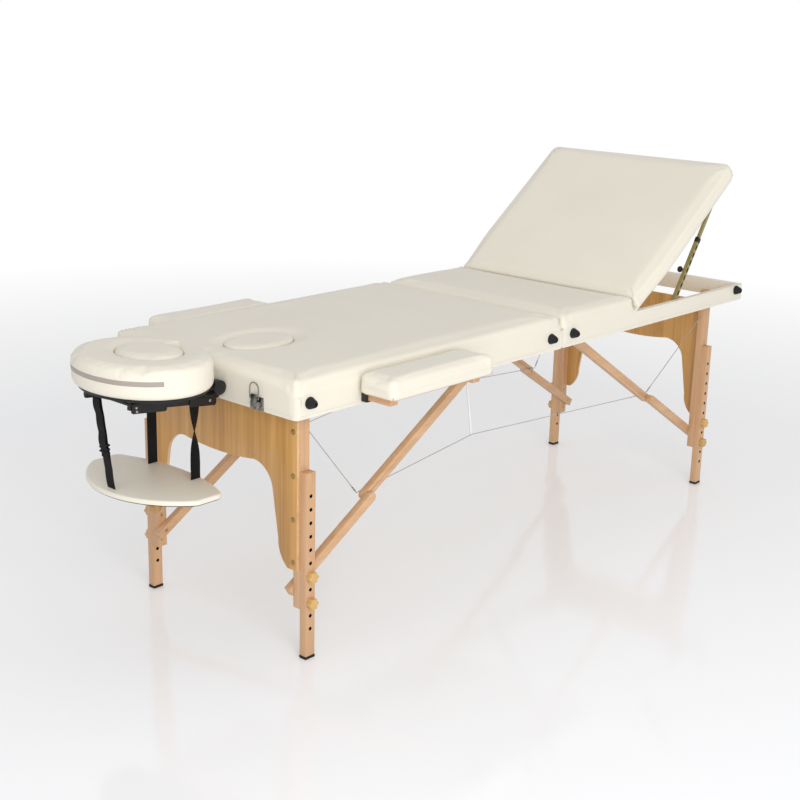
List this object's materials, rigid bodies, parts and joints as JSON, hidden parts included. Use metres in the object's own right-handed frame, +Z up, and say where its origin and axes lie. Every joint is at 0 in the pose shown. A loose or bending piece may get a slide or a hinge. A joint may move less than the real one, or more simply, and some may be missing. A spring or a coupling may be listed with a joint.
{
  "type": "folding massage table",
  "caption": "Folding massage table with padded top, raised backrest, folding wooden legs, armrests, face cradle and a hanging arm shelf.",
  "frame": {"origin": "on the floor under the middle of the table's overall box, with the face cradle and armrests on", "axes": "+X from the head end to the foot end, +Y to the far side in the picture, +Z up"},
  "size_m": [2.147, 0.832, 0.9854],
  "materials": {
    "cover": "soft cream vinyl",
    "covered_frame": "wood under a glued cream vinyl skirt",
    "beech": "clear lacquer",
    "panel_wood": "clear lacquer, darker veneer",
    "black_plastic": "matt",
    "webbing": "woven",
    "tan_knob": "satin",
    "rubber": "matt",
    "steel": "bright",
    "zinc": "yellow passivated",
    "brass": "satin"
  },
  "bodies": {
    "head_half": {"head_frame": "covered_frame", "head_pad": "cover", "head_pivot_blocks": "beech", "head_bumpers": "black_plastic", "head_handle": "black_plastic", "head_hardware": "steel", "armrest_sockets": "black_plastic", "leg_cables": "steel"},
    "face_plug": {"face_plug": "cover"},
    "near_latch_lever": {"near_latch_lever": "steel"},
    "far_latch_lever": {"far_latch_lever": "steel"},
    "near_latch_loop": {"near_latch_loop": "steel"},
    "far_latch_loop": {"far_latch_loop": "steel"},
    "cradle_mount": {"cradle_mount": "black_plastic"},
    "cradle_knob": {"cradle_knob": "black_plastic"},
    "cradle_arms": {"cradle_arms": "black_plastic", "shelf_straps": "webbing"},
    "cradle_platform": {"cradle_platform": "black_plastic", "cradle_cushion": "cover"},
    "arm_shelf": {"arm_shelf": "cover"},
    "near_armrest": {"near_armrest_frame": "beech", "near_armrest_pad": "cover"},
    "far_armrest": {"far_armrest_frame": "beech", "far_armrest_pad": "cover"},
    "fold_links": {"fold_links": "steel"},
    "foot_half": {"foot_frame": "covered_frame", "seat_pad": "cover", "foot_pivot_blocks": "beech", "foot_bumpers": "black_plastic", "foot_handle": "black_plastic", "foot_hardware": "steel"},
    "backrest": {"backrest_deck": "covered_frame", "backrest_pad": "cover", "backrest_fittings": "steel"},
    "strut_bars": {"strut_bars": "zinc"},
    "strut_channels": {"strut_channels": "zinc"},
    "near_strut_knob": {"near_strut_knob": "black_plastic"},
    "far_strut_knob": {"far_strut_knob": "black_plastic"},
    "head_leg": {"head_posts": "beech", "head_panel": "panel_wood", "head_leg_fasteners": "brass"},
    "head_extensions": {"head_leg_extensions": "beech", "head_rubber_feet": "rubber"},
    "head_upper_braces": {"head_upper_braces": "beech"},
    "head_lower_braces": {"head_lower_braces": "beech"},
    "head_near_low_knob": {"head_near_low_knob": "tan_knob"},
    "head_near_high_knob": {"head_near_high_knob": "tan_knob"},
    "head_far_low_knob": {"head_far_low_knob": "tan_knob"},
    "head_far_high_knob": {"head_far_high_knob": "tan_knob"},
    "foot_leg": {"foot_posts": "beech", "foot_panel": "panel_wood", "foot_leg_fasteners": "brass"},
    "foot_extensions": {"foot_leg_extensions": "beech", "foot_rubber_feet": "rubber"},
    "foot_upper_braces": {"foot_upper_braces": "beech"},
    "foot_lower_braces": {"foot_lower_braces": "beech"},
    "foot_near_low_knob": {"foot_near_low_knob": "tan_knob"},
    "foot_near_high_knob": {"foot_near_high_knob": "tan_knob"},
    "foot_far_low_knob": {"foot_far_low_knob": "tan_knob"},
    "foot_far_high_knob": {"foot_far_high_knob": "tan_knob"}
  },
  "joints": [
    {"name": "fold_link", "type": "hinge", "parent": "head_half", "child": "fold_links", "pos_m": [0.1345, 0, 0.5775], "axis": [0, 1, 0], "range_deg": [0, 90], "deforming": ["leg_cables"]},
    {"name": "fold_half", "type": "hinge", "parent": "fold_links", "child": "foot_half", "pos_m": [0.1505, 0, 0.5775], "axis": [0, 1, 0], "range_deg": [0, 90], "deforming": ["leg_cables"]},
    {"name": "head_leg_fold", "type": "hinge", "parent": "head_half", "child": "head_leg", "pos_m": [-0.7105, 0, 0.5935], "axis": [0, -1, 0], "range_deg": [0, 90]},
    {"name": "head_upper_brace_fold", "type": "hinge", "parent": "head_half", "child": "head_upper_braces", "pos_m": [-0.0155, 0, 0.5935], "axis": [0, 1, 0], "range_deg": [0, 33.04]},
    {"name": "head_lower_brace_fold", "type": "hinge", "parent": "head_leg", "child": "head_lower_braces", "pos_m": [-0.7105, 0, 0.1615], "axis": [0, -1, 0], "range_deg": [0, 57.7]},
    {"name": "head_leg_height", "type": "slide", "parent": "head_leg", "child": "head_extensions", "axis": [0, 0, 1], "range_m": [-0.186, 0]},
    {"name": "head_near_low_knob_turn", "type": "hinge", "parent": "head_leg", "child": "head_near_low_knob", "pos_m": [-0.7105, -0.285, 0.134], "axis": [0, 1, 0], "continuous": true},
    {"name": "head_near_high_knob_turn", "type": "hinge", "parent": "head_leg", "child": "head_near_high_knob", "pos_m": [-0.7105, -0.285, 0.196], "axis": [0, 1, 0], "continuous": true},
    {"name": "head_far_low_knob_turn", "type": "hinge", "parent": "head_leg", "child": "head_far_low_knob", "pos_m": [-0.7105, 0.285, 0.134], "axis": [0, 1, 0], "continuous": true},
    {"name": "head_far_high_knob_turn", "type": "hinge", "parent": "head_leg", "child": "head_far_high_knob", "pos_m": [-0.7105, 0.285, 0.196], "axis": [0, 1, 0], "continuous": true},
    {"name": "foot_leg_fold", "type": "hinge", "parent": "foot_half", "child": "foot_leg", "pos_m": [0.9485, 0, 0.5935], "axis": [0, 1, 0], "range_deg": [0, 90]},
    {"name": "foot_upper_brace_fold", "type": "hinge", "parent": "foot_half", "child": "foot_upper_braces", "pos_m": [0.2535, 0, 0.5935], "axis": [0, -1, 0], "range_deg": [0, 33.04]},
    {"name": "foot_lower_brace_fold", "type": "hinge", "parent": "foot_leg", "child": "foot_lower_braces", "pos_m": [0.9485, 0, 0.1615], "axis": [0, 1, 0], "range_deg": [0, 57.7]},
    {"name": "foot_leg_height", "type": "slide", "parent": "foot_leg", "child": "foot_extensions", "axis": [0, 0, 1], "range_m": [-0.186, 0]},
    {"name": "foot_near_low_knob_turn", "type": "hinge", "parent": "foot_leg", "child": "foot_near_low_knob", "pos_m": [0.9485, -0.285, 0.134], "axis": [0, 1, 0], "continuous": true},
    {"name": "foot_near_high_knob_turn", "type": "hinge", "parent": "foot_leg", "child": "foot_near_high_knob", "pos_m": [0.9485, -0.285, 0.196], "axis": [0, 1, 0], "continuous": true},
    {"name": "foot_far_low_knob_turn", "type": "hinge", "parent": "foot_leg", "child": "foot_far_low_knob", "pos_m": [0.9485, 0.285, 0.134], "axis": [0, 1, 0], "continuous": true},
    {"name": "foot_far_high_knob_turn", "type": "hinge", "parent": "foot_leg", "child": "foot_far_high_knob", "pos_m": [0.9485, 0.285, 0.196], "axis": [0, 1, 0], "continuous": true},
    {"name": "backrest_tilt", "type": "hinge", "parent": "foot_half", "child": "backrest", "pos_m": [0.4875, 0, 0.6123], "axis": [0, -1, 0], "range_deg": [-36.5, 5]},
    {"name": "strut_swing", "type": "hinge", "parent": "backrest", "child": "strut_bars", "pos_m": [0.90494, 0, 0.91397], "axis": [0, -1, 0], "range_deg": [-20.5, 2.89]},
    {"name": "strut_length", "type": "slide", "parent": "strut_bars", "child": "strut_channels", "axis": [-0.5461, 0, -0.8377], "range_m": [-0.06953, 0.00996]},
    {"name": "near_strut_knob_turn", "type": "hinge", "parent": "strut_channels", "child": "near_strut_knob", "pos_m": [0.7602, -0.27, 0.69195], "axis": [0, 1, 0], "continuous": true},
    {"name": "far_strut_knob_turn", "type": "hinge", "parent": "strut_channels", "child": "far_strut_knob", "pos_m": [0.7602, 0.27, 0.69195], "axis": [0, 1, 0], "continuous": true},
    {"name": "plug_lift", "type": "slide", "parent": "head_half", "child": "face_plug", "axis": [0, 0, 1], "range_m": [0, 0.06]},
    {"name": "near_latch_lever_turn", "type": "hinge", "parent": "head_half", "child": "near_latch_lever", "pos_m": [-0.7905, -0.19, 0.584], "axis": [0, -1, 0], "range_deg": [0, 85]},
    {"name": "near_latch_loop_swing", "type": "hinge", "parent": "near_latch_lever", "child": "near_latch_loop", "pos_m": [-0.7921, -0.19, 0.597], "axis": [0, -1, 0], "range_deg": [0, 95]},
    {"name": "near_armrest_slide", "type": "slide", "parent": "head_half", "child": "near_armrest", "axis": [0, -1, 0], "range_m": [0, 0.06]},
    {"name": "far_latch_lever_turn", "type": "hinge", "parent": "head_half", "child": "far_latch_lever", "pos_m": [-0.7905, 0.19, 0.584], "axis": [0, -1, 0], "range_deg": [0, 85]},
    {"name": "far_latch_loop_swing", "type": "hinge", "parent": "far_latch_lever", "child": "far_latch_loop", "pos_m": [-0.7921, 0.19, 0.597], "axis": [0, -1, 0], "range_deg": [0, 95]},
    {"name": "far_armrest_slide", "type": "slide", "parent": "head_half", "child": "far_armrest", "axis": [0, 1, 0], "range_m": [0, 0.06]},
    {"name": "cradle_slide", "type": "slide", "parent": "head_half", "child": "cradle_mount", "axis": [-1, 0, 0], "range_m": [0, 0.06]},
    {"name": "cradle_knob_turn", "type": "hinge", "parent": "cradle_mount", "child": "cradle_knob", "pos_m": [-0.8015, -0.084, 0.602], "axis": [0, 1, 0], "continuous": true},
    {"name": "cradle_arm_tilt", "type": "hinge", "parent": "cradle_mount", "child": "cradle_arms", "pos_m": [-0.8175, 0, 0.578], "axis": [0, 1, 0], "range_deg": [-15, 6]},
    {"name": "cradle_face_tilt", "type": "hinge", "parent": "cradle_arms", "child": "cradle_platform", "pos_m": [-0.9985, 0, 0.6], "axis": [0, -1, 0], "range_deg": [0, 12]},
    {"name": "shelf_lift", "type": "slide", "parent": "cradle_arms", "child": "arm_shelf", "axis": [0, 0, 1], "range_m": [0, 0.08], "deforming": ["shelf_straps"]}
  ],
  "couplings": [
    {"joint": "head_leg_fold", "follows": "fold_link", "ratio": 1},
    {"joint": "head_upper_brace_fold", "follows": "fold_link", "ratio": 0.366},
    {"joint": "head_lower_brace_fold", "follows": "fold_link", "ratio": 0.64},
    {"joint": "foot_leg_fold", "follows": "fold_link", "ratio": 1},
    {"joint": "foot_upper_brace_fold", "follows": "fold_link", "ratio": 0.366},
    {"joint": "foot_lower_brace_fold", "follows": "fold_link", "ratio": 0.64},
    {"joint": "strut_swing", "follows": "backrest_tilt", "ratio": 0.55891},
    {"joint": "strut_length", "follows": "backrest_tilt", "m_per_rad": 0.10836}
  ]
}
